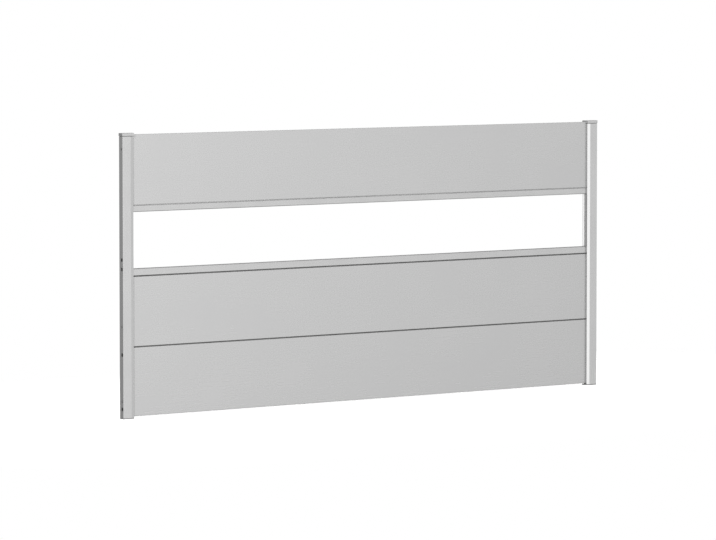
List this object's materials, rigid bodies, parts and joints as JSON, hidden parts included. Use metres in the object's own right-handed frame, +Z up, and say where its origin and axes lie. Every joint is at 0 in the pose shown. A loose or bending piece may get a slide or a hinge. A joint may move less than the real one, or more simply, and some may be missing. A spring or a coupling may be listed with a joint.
{
  "type": "metal privacy screen",
  "caption": "Low metal privacy screen, one bay: slim grooved posts with caps carry hollow sheet panels around a long see-through window.",
  "frame": {"origin": "centre of the left post's foot, on the flat underside of its foot plug", "axes": "+X along the bay to the right post, +Y to the back, +Z up"},
  "size_m": [1.9624, 0.023, 0.9092],
  "materials": {
    "post_metal": "satin silver, anodised",
    "cap_metal": "satin silver, cast",
    "panel_sheet": "fine satin silver sheet",
    "rail_metal": "satin silver, anodised",
    "plug_plastic": "grey, matt",
    "seam_rubber": "dark, matt"
  },
  "bodies": {
    "root": {"left_post": "post_metal", "right_post": "post_metal", "left_post_cap": "cap_metal", "right_post_cap": "cap_metal", "left_foot_plug": "plug_plastic", "right_foot_plug": "plug_plastic", "lower_panel_front": "panel_sheet", "lower_panel_back": "panel_sheet", "middle_panel_front": "panel_sheet", "middle_panel_back": "panel_sheet", "upper_panel_front": "panel_sheet", "upper_panel_back": "panel_sheet", "window_sill_rail": "rail_metal", "window_head_rail": "rail_metal", "left_window_spacer": "rail_metal", "right_window_spacer": "rail_metal", "lower_joint_strip": "seam_rubber", "sill_joint_strip": "seam_rubber", "head_joint_strip": "seam_rubber"}
  },
  "joints": []
}
